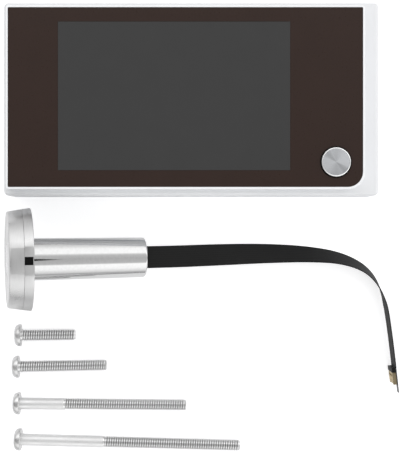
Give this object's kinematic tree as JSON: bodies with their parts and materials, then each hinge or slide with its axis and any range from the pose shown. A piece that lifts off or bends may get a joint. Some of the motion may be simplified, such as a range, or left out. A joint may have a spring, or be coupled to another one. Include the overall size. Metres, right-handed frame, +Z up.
{
  "type": "peephole door camera",
  "caption": "Door viewer kit laid out: indoor monitor with a button, chrome round-head camera on a ribbon cable, and loose machine screws of different lengths.",
  "frame": {"origin": "centre of the monitor's back face, on the table that the kit lies on", "axes": "+X right along the monitor's length, +Y towards the monitor's top edge, +Z up from the table, out of the screen"},
  "size_m": [0.1345, 0.1515, 0.0335],
  "materials": {
    "case_grey": "satin white-grey moulded case",
    "case_back": "fine matt grain",
    "bezel_white": "polished white border",
    "panel_brown": "dark brown, smooth satin gloss",
    "window_dark": "dark grey tinted acrylic",
    "lcd_glass": "dark display glass",
    "backlight_white": "white light guide",
    "plated_steel": "thin plated sheet",
    "button_metal": "turned face with fine rings and a bright rim",
    "board_green": "solder-masked circuit board",
    "chip_black": "moulded chips",
    "socket_white": "socket housing",
    "switch_black": "switch housing",
    "tray_grey": "moulded compartment",
    "cell_jacket": "plain grey jacket",
    "spring_steel": "nickel-plated contacts",
    "bracket_steel": "pressed zinc-plated sheet",
    "chrome": "polished chrome plate",
    "key_black": "dark key insert",
    "lens_black": "black lens holder",
    "lens_clear": "coated lens glass",
    "ribbon_black": "flexible flat cable",
    "stiffener_grey": "stiffened tail",
    "plug_tan": "tan plug housing",
    "contact_gold": "gold-plated contacts",
    "screw_zinc": "bright zinc plate"
  },
  "bodies": {
    "kit": {"rear_cover": "case_back", "front_case": "case_grey", "bezel": "bezel_white", "front_panel": "panel_brown", "screen_window": "window_dark", "display_panel": "lcd_glass", "backlight": "backlight_white", "display_frame": "plated_steel", "button_board": "board_green", "button_switch": "switch_black", "battery_tray": "tray_grey", "battery_cells": "cell_jacket", "battery_contacts": "spring_steel", "battery_springs": "spring_steel", "main_board": "board_green", "board_chips": "chip_black", "ribbon_socket": "socket_white", "case_screws": "screw_zinc", "camera_body": "chrome", "camera_flange": "chrome", "camera_cap": "chrome", "camera_key": "key_black", "lens_window": "lens_clear", "lens_barrel": "lens_black", "lens_glass": "lens_clear", "sensor_board": "board_green", "sensor_chip": "chip_black", "inner_ribbon": "ribbon_black", "ribbon_cable": "ribbon_black", "connector_board": "stiffener_grey", "connector_cap": "key_black", "connector_body": "plug_tan", "connector_contacts": "contact_gold", "screw_18mm": "screw_zinc", "screw_30mm": "screw_zinc", "screw_57mm": "screw_zinc", "screw_75mm": "screw_zinc"},
    "view_button": {"view_button": "button_metal"},
    "battery_cover": {"battery_cover": "case_back"},
    "wall_bracket": {"wall_bracket": "bracket_steel"}
  },
  "joints": [
    {"name": "button_press", "type": "slide", "parent": "kit", "child": "view_button", "axis": [0, 0, -1], "range_m": [0, 0.0008], "stiffness_N_per_m": 800},
    {"name": "battery_cover_slide", "type": "slide", "parent": "kit", "child": "battery_cover", "axis": [1, 0, 0], "range_m": [0, 0.006]},
    {"name": "wall_bracket_slide", "type": "slide", "parent": "kit", "child": "wall_bracket", "axis": [0, -1, 0], "range_m": [0, 0.009]}
  ]
}
